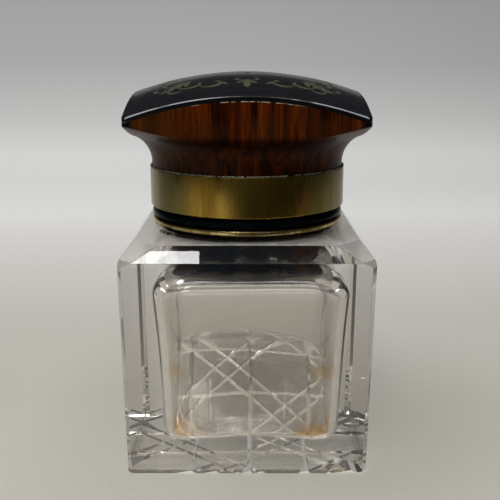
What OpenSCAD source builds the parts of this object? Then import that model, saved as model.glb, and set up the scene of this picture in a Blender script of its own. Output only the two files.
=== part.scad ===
// Desk inkwell: square cut-glass well with a brass collar and a hinged wooden lid.
// Millimetres. Origin at the centre of the base, +Z up, front towards -Y, hinge at +Y.

/* [Glass well] */
// Width across the flats at the shoulder
shoulder_w = 60; // [56:0.5:68]
// Width across the flats at the base
base_w = 58.6; // [55:0.2:60]
// Height of the upright sides
shoulder_h = 53.5; // [46:0.5:60]
// Height of the bevel cut round the top of the sides
top_bevel_h = 3.6; // [2.5:0.1:4.5]
// Inward run of that bevel
top_bevel_run = 3; // [2:0.1:4]
// Radius out to which the table is flat
table_r = 34; // [31:0.5:36]
// Fall of the table towards the four corners, degrees
corner_fall = 30; // [20:1:35]
// Bevel on the upright arrises, measured across the corner
arris_bevel = 1.3; // [0.6:0.1:2.5]
// Outside diameter of the glass neck
neck_d = 41; // [39:0.2:42]
// Rise of the neck above the table
neck_rise = 10.4; // [9.5:0.1:11]
// Diameter of the mouth
mouth_d = 31; // [27:0.5:32]

/* [Ink chamber] */
// Width of the chamber under its roof
chamber_top_w = 47.6; // [44:0.2:49]
// Width of the chamber at its floor
chamber_floor_w = 43.6; // [40:0.2:46]
// Thickness of the glass under the flat front edge of the chamber floor
floor_t = 5.5; // [5:0.25:7]
// Radius of the swell of glass that rises from the floor
swell_r = 52.8; // [49:0.2:56]
// Height of the crest of the swell
swell_h = 19.7; // [17:0.1:21]
// Distance of the crest behind the middle of the well
swell_back = 13.3; // [10:0.1:15]
// Height at which the roof begins
roof_h = 47.4; // [43:0.2:48]
// Height at which the roof meets the mouth
mouth_h = 51.6; // [50:0.2:53]
// Corner radius under the roof
roof_corner_r = 6; // [4:0.5:8]
// Corner radius at the floor
floor_corner_r = 3.4; // [2.5:0.2:5]
// Sideways wander of the blown chamber
chamber_wander = 1; // [0:0.1:1.5]

/* [Base cutting] */
// Depth of the mitre cuts in the underside
cut_depth = 0.65; // [0.5:0.05:0.9]
// Angle inside a mitre cut, degrees
cut_angle = 125; // [100:5:130]
// Lean of the slanting cuts from the front edge, degrees
cut_lean = 53; // [50:1:56]
// Distance between the two cuts of a slanting pair
pair_gap = 4.8; // [4.4:0.2:5.4]
// Distance from one slanting pair to the next
pair_pitch = 22.2; // [21:0.2:23]
// Distance between the cuts that run from front to back
lengthways_pitch = 14.2; // [13.4:0.2:15]
// Distance between the cuts that run from side to side
crossways_pitch = 17.4; // [16.6:0.2:18]

/* [Brass collar] */
// Thickness of the cement bed under the collar
bed_t = 1.6; // [0.8:0.1:2]
// Setting-back of the cement from the edge of the foot
bed_setback = 0.4; // [0.2:0.1:0.8]
// Gap between the neck and the sleeve that the cement fills
cement_gap = 0.7; // [0.4:0.1:1]
// Wall of the sleeve
sleeve_wall = 0.8; // [0.6:0.1:1]
// Thickness of the foot
foot_t = 1.2; // [0.8:0.1:1.5]
// Setting-back of the foot behind the band of the lid
foot_setback = 0.2; // [0.1:0.05:0.4]
// Thickness of the lip turned in over the mouth
lip_t = 0.7; // [0.5:0.1:0.9]
// Height of the bead ring
bead_h = 2.6; // [2:0.1:2.8]
// Running gap between bead ring and band
bead_gap = 0.3; // [0.2:0.05:0.5]

/* [Lid band] */
// Outside diameter of the band
band_d = 50; // [49:0.5:52]
// Height of the band
band_h = 9.8; // [9:0.2:12]
// Wall of the band
band_wall = 0.8; // [0.6:0.1:1]
// Rounding of the band's lower edge
band_round = 0.35; // [0.2:0.05:0.5]
// Thickness of the liner plate inside the lid
liner_t = 0.6; // [0.4:0.1:0.8]
// Headroom between the collar's lip and the liner
headroom = 1.1; // [0.9:0.1:1.4]
// Pins that hold the liner
pin_count = 4; // [3:1:6]
// Radius of the circle on which the liner pins stand
pin_circle_r = 17; // [13:0.5:19]
// Diameter of a liner pin
pin_d = 0.9; // [0.7:0.1:1.2]
// Length of a liner pin in the wood
pin_length = 4; // [3:0.5:6]

/* [Wooden lid] */
// Width across the flats of the lid
lid_w = 56; // [54:0.5:60]
// Diameter of the turned rim at the corners
rim_d = 78.8; // [77:0.2:79]
// Diameter of the wooden neck above the band
lid_neck_d = 49; // [48.6:0.1:49.6]
// Height of the straight stretch of the wooden neck
lid_neck_h = 1; // [0.5:0.1:2]
// Radius of the cove under the rim
cove_r = 7.6; // [6:0.2:9]
// Upward slope of the underside beyond the cove, degrees
flare = 21; // [17:1:23]
// Height of the crown of the dome above the band
crown_h = 23.4; // [22.6:0.1:24.4]
// Radius of the domed top
dome_r = 82.4; // [78:0.2:90]
// Thickness of the ebony veneer
veneer_t = 1.05; // [0.8:0.05:1.3]
// Thickness of the brass inlay
inlay_t = 0.5; // [0.3:0.05:0.6]

/* [Inlay pattern] */
// Distance of the corner sprays from the middle
spray_at = 19.5; // [19:0.1:20]
// Length of the middle leaf of a corner spray
spray_leaf = 9; // [8:0.2:9.4]
// Distance of the side scrolls from the middle
side_scroll_at = 18.5; // [18.3:0.1:18.8]
// Radius of a side scroll
side_scroll_r = 2.6; // [2.3:0.1:2.7]
// Distance of the palmettes from the middle
palmette_at = 16.6; // [16.4:0.1:17]
// Length of the middle leaf of a palmette
palmette_leaf = 6; // [5:0.2:6.4]
// Length of the four long leaves of the rosette
rosette_leaf = 6; // [5:0.2:6.4]

/* [Hinge] */
// Diameter of the knuckles
knuckle_d = 3; // [2.8:0.1:3.2]
// Diameter of the hinge pin
hinge_pin_d = 1.4; // [1:0.1:1.6]
// Width of the hinge
hinge_w = 16; // [14:0.5:20]
// Number of knuckles
knuckles = 5; // [3:2:7]
// Gap between two knuckles
knuckle_gap = 0.12; // [0.08:0.02:0.2]
// Radial clearance of the pin
pin_clearance = 0.05; // [0.03:0.01:0.08]
// Clearance between knuckles and the other leaf
leaf_clearance = 0.15; // [0.1:0.05:0.2]
// Radial gap between the knuckles and the band
hinge_standoff = 0.2; // [0.15:0.05:0.4]
// Height of the lid's hinge block
lid_leaf_h = 6.2; // [5:0.2:8]

/* [Hidden] */
$fn = 96;

// Heights up the stack
table_h = shoulder_h + top_bevel_h;
neck_top = table_h + neck_rise;
foot_z = table_h + bed_t;
bead_z = foot_z + foot_t;
lip_z = neck_top + 0.1;
lip_top = lip_z + lip_t;
band_z = bead_z + bead_h + bead_gap;
band_top = band_z + band_h;
liner_z = lip_top + headroom;
liner_top = liner_z + liner_t;
crown_z = band_top + crown_h;

// Radii out from the neck
neck_r = neck_d / 2;
mouth_r = mouth_d / 2;
sleeve_in = neck_r + cement_gap;
sleeve_out = sleeve_in + sleeve_wall;
band_r = band_d / 2;
band_in = band_r - band_wall;
foot_r = band_r - foot_setback;
bead_in = sleeve_out + 0.05;
bead_r = foot_r - 0.15;
spigot_r = band_in - 0.05;

// Lid
dome_z = crown_z - dome_r;
rim_r = rim_d / 2;
lid_neck_r = lid_neck_d / 2;
cove_z = band_top + lid_neck_h;
cove_end = [lid_neck_r + cove_r * (1 - sin(flare)), cove_z + cove_r * cos(flare)];
rim_z = cove_end[1] + (rim_r - cove_end[0]) * tan(flare);

// Hinge
knuckle_r = knuckle_d / 2;
hinge_y = band_r + hinge_standoff + knuckle_r;
hinge_z = band_z - 0.15;
knuckle_pitch = hinge_w / knuckles;
leaf_back = hinge_y - 0.5;
pin_head_h = 0.35;

// Base cutting: how far each set of cuts lies off the middle, and which of its cuts are made
cut_reach = 100;
rising_shift = -13.1;
falling_shift = -5.2;
lengthways_shift = 0.7;
crossways_shift = -5.4;
rising_pairs = [-1:2];
falling_pairs = [-1:1];
straight_cuts = [-1:1];

// Points on an arc about c, from angle a to angle b
function arc(c, r, a, b, steps = 8) =
    [for (i = [0:steps]) let (t = a + (b - a) * i / steps) c + r * [cos(t), sin(t)]];

// ---- Glass well ----

// Side view of the cut block, the same from the front and from the side
module block_outline() {
    polygon([[-base_w / 2, 0], [base_w / 2, 0],
             [shoulder_w / 2, shoulder_h],
             [shoulder_w / 2 - top_bevel_run, table_h],
             [top_bevel_run - shoulder_w / 2, table_h],
             [-shoulder_w / 2, shoulder_h]]);
}

// Diagonal view, which takes the bevels off the upright arrises
module arris_outline() {
    foot = base_w / sqrt(2) - arris_bevel;
    top = shoulder_w / sqrt(2) - arris_bevel;
    polygon([[-foot, 0], [foot, 0], [top, shoulder_h], [top, table_h], [-top, table_h], [-top, shoulder_h]]);
}

// Outline swept right across the block, seen along the direction that is turned by a degrees
module across(a) {
    rotate([90, 0, a]) linear_extrude(2 * shoulder_w, center = true) children();
}

// Turned envelope: flat table that falls away to the corners
module table_envelope() {
    reach = shoulder_w;
    rotate_extrude()
        polygon([[0, 0], [reach, 0], [reach, table_h - (reach - table_r) * tan(corner_fall)],
                 [table_r, table_h], [0, table_h]]);
}

// Four spheres at the corners of a square of the given width
module corner_spheres(w, r, z) {
    for (x = [-1, 1], y = [-1, 1])
        translate([x * (w / 2 - r) + chamber_wander, y * (w / 2 - r), z]) sphere(r, $fn = 32);
}

module ink_chamber() {
    difference() {
        hull() {
            corner_spheres(chamber_floor_w, floor_corner_r, floor_t + floor_corner_r);
            corner_spheres(chamber_top_w, roof_corner_r, roof_h - roof_corner_r);
            translate([0, 0, mouth_h - 0.2]) cylinder(r = mouth_r, h = 0.2, $fn = 64);
        }
        translate([0, swell_back, swell_h - swell_r]) sphere(swell_r, $fn = 256);
    }
}

// One mitre cut, running along the direction a, at distance off to its right
module mitre_cut(a, off) {
    half = cut_depth * tan(cut_angle / 2);
    rotate(a) translate([0, -off, 0]) rotate([90, 0, 90])
        linear_extrude(cut_reach, center = true)
            polygon([[-2 * half, -cut_depth], [2 * half, -cut_depth], [0, cut_depth]]);
}

module base_cutting() {
    for (s = [-0.5, 0.5]) {
        for (k = rising_pairs) mitre_cut(cut_lean, rising_shift + k * pair_pitch + s * pair_gap);
        for (k = falling_pairs) mitre_cut(-cut_lean, falling_shift + k * pair_pitch + s * pair_gap);
    }
    for (k = straight_cuts) {
        mitre_cut(90, lengthways_shift + k * lengthways_pitch);
        mitre_cut(0, crossways_shift + k * crossways_pitch);
    }
}

module glass_well() {
    color([0.86, 0.87, 0.86, 0.35])
    difference() {
        union() {
            intersection() {
                across(0) block_outline();
                across(90) block_outline();
                across(45) arris_outline();
                across(-45) arris_outline();
                table_envelope();
            }
            translate([0, 0, table_h - 1]) cylinder(r = neck_r, h = neck_rise + 1);
        }
        ink_chamber();
        translate([0, 0, mouth_h - 0.1]) cylinder(r = mouth_r, h = neck_top - mouth_h + 1);
        base_cutting();
    }
}

// ---- Collar ----

module neck_cement() {
    color([0.23, 0.16, 0.11])
    rotate_extrude()
        polygon([[neck_r, table_h], [foot_r - bed_setback, table_h], [foot_r - bed_setback - 0.2, foot_z],
                 [sleeve_in, foot_z], [sleeve_in, neck_top], [neck_r, neck_top]]);
}

module neck_collar() {
    edge = 0.2;
    color([0.62, 0.50, 0.25])
    rotate_extrude()
        polygon(concat(
            [[sleeve_in, foot_z], [foot_r - edge, foot_z], [foot_r, foot_z + edge],
             [foot_r, bead_z - edge], [foot_r - edge, bead_z], [sleeve_out, bead_z]],
            arc([sleeve_out - lip_t, lip_z], lip_t, 0, 90),
            [[mouth_r + 0.4, lip_top], [mouth_r + 0.2, lip_top - edge], [mouth_r + 0.2, lip_z],
             [sleeve_in, lip_z]]));
}

module bead_ring() {
    core_r = bead_r - bead_h / 2;
    color([0.07, 0.08, 0.10])
    rotate_extrude()
        translate([0, bead_z]) intersection() {
            union() {
                translate([core_r, bead_h / 2]) circle(d = bead_h);
                square([core_r, bead_h]);
            }
            translate([bead_in, 0]) square([bead_h, bead_h]);
        }
}

// ---- Hinge ----

// Cylinder along the hinge axis, from one distance along it to another
module on_hinge(r, from, to) {
    translate([from, hinge_y, hinge_z]) rotate([0, 90, 0]) cylinder(r = r, h = to - from);
}

// Every second knuckle, starting with number first, fattened by grow and lengthened by gap at each end
module knuckle_row(first, grow = 0, gap = 0) {
    for (i = [first:2:knuckles - 1])
        on_hinge(knuckle_r + grow, i * knuckle_pitch - hinge_w / 2 + knuckle_gap / 2 - gap,
                 (i + 1) * knuckle_pitch - hinge_w / 2 - knuckle_gap / 2 + gap);
}

// Hinge half: a block with its knuckles, cleared for the other half and bored for the pin
module hinge_half(first, z, h) {
    difference() {
        union() {
            translate([-hinge_w / 2, 0, z]) cube([hinge_w, leaf_back, h]);
            knuckle_row(first);
        }
        knuckle_row(1 - first, leaf_clearance, knuckle_gap);
        on_hinge(hinge_pin_d / 2 + pin_clearance, -hinge_w, hinge_w);
        children();
    }
}

module collar_hinge_block() {
    color([0.60, 0.48, 0.24])
    hinge_half(0, foot_z, hinge_z - 0.85 - foot_z) {
        translate([0, 0, foot_z - 1]) cylinder(r = foot_r, h = band_h);
    }
}

module lid_hinge_block() {
    color([0.60, 0.48, 0.24])
    hinge_half(1, hinge_z + 0.55, lid_leaf_h) {
        translate([0, 0, band_z - 1]) cylinder(r = band_r, h = band_h + 2);
    }
}

module hinge_pin() {
    color([0.66, 0.55, 0.30]) on_hinge(hinge_pin_d / 2, -hinge_w / 2 - 0.3, hinge_w / 2 + 0.3);
}

// ---- Lid ----

module lid_band() {
    color([0.62, 0.51, 0.24])
    rotate_extrude()
        polygon(concat(
            [[band_in, band_z]],
            arc([band_r - band_round, band_z + band_round], band_round, -90, 0),
            [[band_r, band_top - 0.15], [band_r - 0.15, band_top], [band_in, band_top]]));
}

// Places its children at each liner pin
module at_pins() {
    for (i = [0:pin_count - 1]) rotate((i + 0.5) * 360 / pin_count) translate([pin_circle_r, 0, 0]) children();
}

module lid_liner() {
    color([0.64, 0.53, 0.28])
    difference() {
        translate([0, 0, liner_z]) cylinder(r = spigot_r, h = liner_t);
        at_pins() translate([0, 0, liner_z - 1]) cylinder(d = pin_d, h = liner_t + 2, $fn = 24);
    }
}

module liner_pins() {
    color([0.66, 0.55, 0.30])
    at_pins() {
        translate([0, 0, liner_z - pin_head_h]) cylinder(d = 2 * pin_d, h = pin_head_h, $fn = 32);
        translate([0, 0, liner_z - pin_head_h / 2])
            cylinder(d = pin_d, h = pin_length + liner_t, $fn = 24);
    }
}

// Half section of the turned lid, up to well above the dome
module turned_profile() {
    polygon(concat(
        [[0, liner_top], [spigot_r, liner_top], [spigot_r, band_top], [lid_neck_r, band_top]],
        arc([lid_neck_r + cove_r, cove_z], cove_r, 180, 90 + flare, 12),
        [[rim_r, rim_z], [rim_r, crown_z], [0, crown_z]]));
}

// The turned lid cut square, before the dome
module lid_stock() {
    intersection() {
        rotate_extrude() turned_profile();
        translate([-lid_w / 2, -lid_w / 2, liner_top - 1]) cube([lid_w, lid_w, crown_z]);
    }
}

// Solid under the dome, sunk by depth below the finished top
module under_dome(depth) {
    translate([0, 0, dome_z]) sphere(dome_r - depth, $fn = 256);
}

module lid_block() {
    color([0.45, 0.17, 0.07])
    difference() {
        intersection() {
            lid_stock();
            under_dome(veneer_t);
        }
        at_pins() translate([0, 0, liner_top - 1]) cylinder(d = pin_d, h = pin_length + 1, $fn = 24);
    }
}

module lid_veneer() {
    color([0.06, 0.05, 0.06])
    difference() {
        intersection() {
            lid_stock();
            under_dome(0);
        }
        under_dome(veneer_t);
        difference() {
            inlay_prism() { corner_sprays(); side_scrolls(); palmettes(); rosette(); }
            under_dome(inlay_t);
        }
    }
}

// ---- Brass inlay ----

// Pointed leaf from the origin along +X
module leaf(l, w) {
    r = (l * l + w * w) / (4 * w);
    translate([l / 2, 0]) intersection() {
        translate([0, r - w / 2]) circle(r);
        translate([0, w / 2 - r]) circle(r);
    }
}

// Scroll: a crescent, thickest on the side away from its opening at +X, with a bead on one tip
module scroll(r, w) {
    inner = r - 0.2;
    tip_x = (r * r - inner * inner + w * w) / (2 * w);
    difference() {
        circle(r);
        translate([w, 0]) circle(inner);
    }
    translate([tip_x, 0.96 * sqrt(r * r - tip_x * tip_x)]) circle(0.24 * r);
}

// Spray that grows along +X: a long leaf between two pairs of scrolls
module spray() {
    circle(0.7);
    leaf(spray_leaf, 1.9);
    for (s = [0, 1]) mirror([0, s]) {
        translate([2.2, 2.9]) rotate(250) scroll(2.7, 1);
        translate([6.4, 2.6]) rotate(200) scroll(1.8, 0.8);
        rotate(38) leaf(4.4, 1.2);
    }
}

// Copies a motif to the four sides, at distance r from the middle
module on_sides(r) {
    for (a = [0:90:270]) rotate(a) translate([r, 0]) children();
}

module corner_sprays() {
    rotate(45) on_sides(spray_at) spray();
}

module side_scrolls() {
    on_sides(side_scroll_at) for (s = [0, 1]) mirror([0, s]) {
        translate([0, 8.4]) rotate(150) scroll(side_scroll_r, 1);
        translate([1.6, 4.4]) rotate(150) leaf(3.4, 1);
    }
}

module palmettes() {
    on_sides(palmette_at) {
        circle(0.6);
        leaf(palmette_leaf, 1.8);
        for (s = [0, 1]) mirror([0, s]) {
            rotate(40) leaf(3.8, 1.1);
            translate([-1, 1.5]) rotate(250) scroll(1.4, 0.6);
        }
    }
}

module rosette() {
    circle(1.3);
    for (a = [0:45:315]) rotate(a) translate([1.1, 0]) leaf(a % 90 == 0 ? rosette_leaf : 4, 1.6);
}

// Stands a flat pattern up through the domed top
module inlay_prism() {
    translate([0, 0, rim_z]) linear_extrude(crown_z - rim_z + 1) children();
}

module inlay() {
    color([0.55, 0.50, 0.30])
    intersection() {
        difference() {
            under_dome(0);
            under_dome(inlay_t);
        }
        inlay_prism() children();
    }
}

module inlay_corner_sprays() { inlay() corner_sprays(); }
module inlay_side_scrolls() { inlay() side_scrolls(); }
module inlay_palmettes() { inlay() palmettes(); }
module inlay_rosette() { inlay() rosette(); }

glass_well();
neck_cement();
neck_collar();
bead_ring();
collar_hinge_block();
hinge_pin();
lid_band();
lid_hinge_block();
lid_liner();
liner_pins();
lid_block();
lid_veneer();
inlay_corner_sprays();
inlay_side_scrolls();
inlay_palmettes();
inlay_rosette();
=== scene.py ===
"""Looks for the square cut-glass inkwell with a hinged, inlaid wooden lid.

Metres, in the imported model's frame: the well stands on z = 0, its front faces -Y and the hinge is at +Y.
"""
import math
import random

import bmesh
import bpy
from mathutils import Matrix, Vector


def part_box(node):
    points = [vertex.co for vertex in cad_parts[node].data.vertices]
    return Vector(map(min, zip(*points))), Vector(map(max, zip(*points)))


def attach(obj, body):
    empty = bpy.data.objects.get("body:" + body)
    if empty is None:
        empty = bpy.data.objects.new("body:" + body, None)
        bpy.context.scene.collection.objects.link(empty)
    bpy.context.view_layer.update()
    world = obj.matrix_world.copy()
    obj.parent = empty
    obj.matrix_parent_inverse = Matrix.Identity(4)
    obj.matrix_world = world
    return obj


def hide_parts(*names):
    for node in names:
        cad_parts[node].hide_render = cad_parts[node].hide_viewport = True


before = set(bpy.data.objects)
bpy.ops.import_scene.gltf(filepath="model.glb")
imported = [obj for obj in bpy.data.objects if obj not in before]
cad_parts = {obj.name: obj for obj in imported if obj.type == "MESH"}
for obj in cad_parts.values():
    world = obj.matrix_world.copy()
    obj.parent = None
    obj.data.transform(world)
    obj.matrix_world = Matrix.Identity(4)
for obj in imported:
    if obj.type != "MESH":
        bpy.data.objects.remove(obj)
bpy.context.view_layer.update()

MM = 0.001
TAU = 2 * math.pi

# ---- Sizes ----

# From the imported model
glass_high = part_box("glass_well")[1]
band_low, band_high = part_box("lid_band")
veneer_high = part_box("lid_veneer")[1]
collar_low, collar_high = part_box("neck_collar")
bead_low, bead_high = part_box("bead_ring")
cement_low, cement_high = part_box("neck_cement")
liner_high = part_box("lid_liner")[1]

# Glass block
SHOULDER_HALF = glass_high.x
BASE_HALF = 29.3 * MM
SHOULDER_Z = 53.5 * MM
TABLE_Z = cement_low.z
BEVEL_RUN = 3.0 * MM
BEVEL_LEAN = 0.833  # run of the bevel for each unit that it rises
ARRIS_BEVEL = 0.7 * MM
ARRIS_ROUND = 0.16 * MM
FLAT_FACET_AREA = 2.5e-6  # square metres
TABLE_FLAT_R = 34 * MM
CORNER_FALL = math.radians(30)
NECK_TOP = glass_high.z
NECK_R = 20.5 * MM
MOUTH_R = 15.5 * MM

# Ink chamber
FLOOR_HALF = 21.8 * MM
ROOF_HALF = 23.8 * MM
FLOOR_Z = 5.5 * MM
SWELL_R = 52.8 * MM
SWELL_Z = 19.7 * MM
SWELL_BACK = 13.3 * MM
FLOOR_CORNER = 3.4 * MM
WALL_FOOT_CORNER = 5.4  # millimetres
WALL_HEAD_CORNER = 6.6
ROOF_CORNER = 6 * MM
ROOF_TURN = 60  # degrees
ROOF_Z = 49.6 * MM
MOUTH_Z = 53.5 * MM
WANDER = 1 * MM  # how far the walls stand to the right of the block's middle
WAVE = 0.16 * MM
WAVE_RISE = 6 * MM
SWELL_JOINT = 1.2 * MM

# Mitre cuts in the underside. The wheel bites wider and deeper where it runs out at the edges:
# distance along the cut in millimetres, times the width, times the depth
CUT_DEPTH = 0.45 * MM
CUT_HALF_WIDTH = 0.6 * MM
CUT_STATIONS = ((-60, 8, 3.2), (-22, 1, 1), (22, 1, 1), (60, 8, 3.2))
CUT_LEAN = 53  # degrees
PAIR_GAP = 4.8 * MM
PAIR_PITCH = 22.2 * MM
LENGTHWAYS_PITCH = 14.2 * MM
CROSSWAYS_PITCH = 17.4 * MM
RISING_SHIFT = -13.1 * MM
FALLING_SHIFT = -5.2 * MM
LENGTHWAYS_SHIFT = 0.7 * MM
CROSSWAYS_SHIFT = -5.4 * MM

# Lid, collar and cement
BAND_R = band_high.x
BAND_IN = BAND_R - 0.8 * MM
LID_HALF = veneer_high.x
LID_CORNER = 1.4 * MM
LID_EDGE = 0.22 * MM
RIM_R = 39.4 * MM
TIP_START_R = 34 * MM
LID_NECK_R = 24.5 * MM
LID_NECK_H = 1 * MM
COVE_R = 7.6 * MM
FLARE = math.radians(21)
DOME_R = 82.4 * MM
DOME_Z = veneer_high.z - DOME_R
VENEER_T = 1.05 * MM
SLEEVE_IN = 21.2 * MM
SLEEVE_OUT = 22 * MM
CEMENT_R = 22.3 * MM

# Crumbs: radius of the crust on the band, and of the loose cement on the table
CRUST_R = 24.72 * MM
LOOSE_R = 24.3 * MM


# ---- Meshes ----

def in_scene(name, data):
    """A new object at the origin that holds the given mesh, lamp or camera."""
    made = bpy.data.objects.new(name, data)
    bpy.context.scene.collection.objects.link(made)
    return made


def new_piece(name, verts, faces, materials=()):
    """A mesh object at the origin, with its place in its vertices."""
    mesh = bpy.data.meshes.new(name)
    mesh.from_pydata(verts, [], faces)
    mesh.validate()
    for material in materials:
        mesh.materials.append(material)
    return in_scene(name, mesh)


def outward(piece, merge=1e-6):
    """Merges doubles and turns the faces outwards."""
    work = bmesh.new()
    work.from_mesh(piece.data)
    bmesh.ops.remove_doubles(work, verts=work.verts, dist=merge)
    bmesh.ops.recalc_face_normals(work, faces=work.faces)
    work.to_mesh(piece.data)
    work.free()


def smooth_but_for(piece, degrees):
    """Shades smooth, with sharp edges where two faces meet at more than the given angle."""
    for polygon in piece.data.polygons:
        polygon.use_smooth = True
    piece.data.set_sharp_from_angle(angle=math.radians(degrees))


def apply_modifiers(piece):
    """Turns the modified piece into a plain mesh."""
    bpy.context.view_layer.update()
    evaluated = piece.evaluated_get(bpy.context.evaluated_depsgraph_get())
    mesh = bpy.data.meshes.new_from_object(evaluated)
    piece.modifiers.clear()
    piece.data = mesh


def carve(piece, tool, operation="DIFFERENCE"):
    """Boolean of the piece with a tool, which is used up."""
    cut = piece.modifiers.new("carve", "BOOLEAN")
    cut.object = tool
    cut.operation = operation
    cut.solver = "EXACT"
    cut.material_mode = "TRANSFER"
    apply_modifiers(piece)
    bpy.data.objects.remove(tool)


def lathe(name, profile, materials=(), steps=192, closed=True):
    """Turns a profile of (radius, height) points about Z. A closed profile makes a ring."""
    verts, faces = [], []
    count = len(profile)
    for i in range(steps):
        turn = TAU * i / steps
        verts += [(r * math.cos(turn), r * math.sin(turn), z) for r, z in profile]
    for i in range(steps):
        a, b = i * count, (i + 1) % steps * count
        for j in range(count if closed else count - 1):
            k = (j + 1) % count
            faces.append((a + j, b + j, b + k, a + k))
    piece = new_piece(name, verts, faces, materials)
    outward(piece)
    return piece


def arc_points(centre, radius, start, end, steps):
    """Points on an arc, in degrees."""
    angles = [math.radians(start + (end - start) * i / steps) for i in range(steps + 1)]
    return [(centre[0] + radius * math.cos(a), centre[1] + radius * math.sin(a)) for a in angles]


# ---- Node materials ----

class Finish:
    """A node material built up by short calls. Every pattern reads Object coordinates."""

    def __init__(self, name):
        self.material = bpy.data.materials.new(name)
        self.material.use_nodes = True
        self.tree = self.material.node_tree
        self.shader = self.tree.nodes["Principled BSDF"]
        self.output = self.tree.nodes["Material Output"]
        self.place = self.node("ShaderNodeTexCoord").outputs["Object"]

    def node(self, kind, **settings):
        made = self.tree.nodes.new(kind)
        for key, value in settings.items():
            setattr(made, key, value)
        return made

    def link(self, source, target):
        self.tree.links.new(source, target)

    def feed(self, socket, value):
        """Links a socket, or sets its value."""
        if isinstance(value, bpy.types.NodeSocket):
            self.link(value, socket)
        else:
            socket.default_value = value

    def set(self, **values):
        """Sets or links shader sockets, named with _ for a space."""
        for key, value in values.items():
            self.feed(self.shader.inputs[key.replace("_", " ")], value)

    def stretched(self, x=1.0, y=1.0, z=1.0, shift=(0, 0, 0)):
        """Object coordinates in millimetres, scaled on each axis."""
        mapping = self.node("ShaderNodeMapping")
        mapping.inputs["Scale"].default_value = (1000 * x, 1000 * y, 1000 * z)
        mapping.inputs["Location"].default_value = shift
        self.link(self.place, mapping.inputs["Vector"])
        return mapping.outputs["Vector"]

    def noise(self, scale, detail=3.0, rough=0.5, warp=0.0, place=None):
        """Cloudy pattern, with its scale in clouds per millimetre."""
        made = self.node("ShaderNodeTexNoise")
        self.link(place or self.stretched(), made.inputs["Vector"])
        made.inputs["Scale"].default_value = scale
        made.inputs["Detail"].default_value = detail
        made.inputs["Roughness"].default_value = rough
        made.inputs["Distortion"].default_value = warp
        return made.outputs["Fac"]

    def cells(self, scale, place):
        """Distance from the middle of the nearest cell."""
        made = self.node("ShaderNodeTexVoronoi")
        self.link(place, made.inputs["Vector"])
        made.inputs["Scale"].default_value = scale
        return made.outputs["Distance"]

    def ramp(self, value, *stops):
        """Colour ramp of (position, colour or grey) stops."""
        made = self.node("ShaderNodeValToRGB")
        band = made.color_ramp
        while len(band.elements) < len(stops):
            band.elements.new(1.0)
        for element, (position, colour) in zip(band.elements, stops):
            element.position = position
            element.color = (*colour, 1) if isinstance(colour, tuple) else (colour, colour, colour, 1)
        self.link(value, made.inputs["Fac"])
        return made.outputs["Color"]

    def math(self, operation, a, b=0.0, clamp=False):
        made = self.node("ShaderNodeMath", operation=operation, use_clamp=clamp)
        self.feed(made.inputs[0], a)
        self.feed(made.inputs[1], b)
        return made.outputs[0]

    def plus(self, a, b):
        return self.math("ADD", a, b)

    def less(self, a, b):
        return self.math("SUBTRACT", a, b)

    def times(self, a, *others):
        """Product of two or more values."""
        for other in others:
            a = self.math("MULTIPLY", a, other)
        return a

    def size(self, value):
        """Distance of a value from nought."""
        return self.math("ABSOLUTE", value)

    def radius(self, x, y):
        """Distance from the axis."""
        return self.math("SQRT", self.plus(self.times(x, x), self.times(y, y)))

    def wider(self, x, y):
        """The larger of the distances to the two middle planes."""
        return self.math("MAXIMUM", self.size(x), self.size(y))

    def narrower(self, x, y):
        """The smaller of the distances to the two middle planes."""
        return self.math("MINIMUM", self.size(x), self.size(y))

    def below_dome(self, radius, z, sunk=0.0):
        """Depth under the dome of the lid, or under a surface sunk below it."""
        reach = DOME_R / MM - sunk
        top = self.math("SQRT", self.less(reach * reach, self.times(radius, radius)))
        return self.less(self.plus(top, DOME_Z / MM), z)

    def between(self, value, low, high, start=0.0, end=1.0):
        """Smooth step of a value from low to high."""
        made = self.node("ShaderNodeMapRange", interpolation_type="SMOOTHSTEP")
        for socket, given in zip(("Value", "From Min", "From Max", "To Min", "To Max"),
                                 (value, low, high, start, end)):
            self.feed(made.inputs[socket], given)
        return made.outputs["Result"]

    def mix(self, factor, a, b, blend="MIX"):
        made = self.node("ShaderNodeMix", data_type="RGBA", blend_type=blend)
        self.feed(made.inputs["Factor"], factor)
        for name, value in (("A", a), ("B", b)):
            socket = [s for s in made.inputs if s.name == name and s.type == "RGBA"][0]
            self.feed(socket, (*value, 1) if isinstance(value, tuple) else value)
        return [s for s in made.outputs if s.type == "RGBA"][0]

    def join(self, share, first, second):
        """Mix of two shaders."""
        made = self.node("ShaderNodeMixShader")
        self.feed(made.inputs["Fac"], share)
        self.link(first, made.inputs[1])
        self.link(second, made.inputs[2])
        return made.outputs[0]

    def axes(self):
        """X, Y and Z in millimetres."""
        made = self.node("ShaderNodeSeparateXYZ")
        self.link(self.stretched(), made.inputs[0])
        return made.outputs[0], made.outputs[1], made.outputs[2]

    def bump(self, height, depth_mm, strength=1.0):
        """Adds relief of the given depth."""
        made = self.node("ShaderNodeBump")
        made.inputs["Strength"].default_value = strength
        made.inputs["Distance"].default_value = depth_mm * MM
        self.feed(made.inputs["Height"], height)
        if self.shader.inputs["Normal"].is_linked:
            self.link(self.shader.inputs["Normal"].links[0].from_socket, made.inputs["Normal"])
        self.link(made.outputs["Normal"], self.shader.inputs["Normal"])


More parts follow.
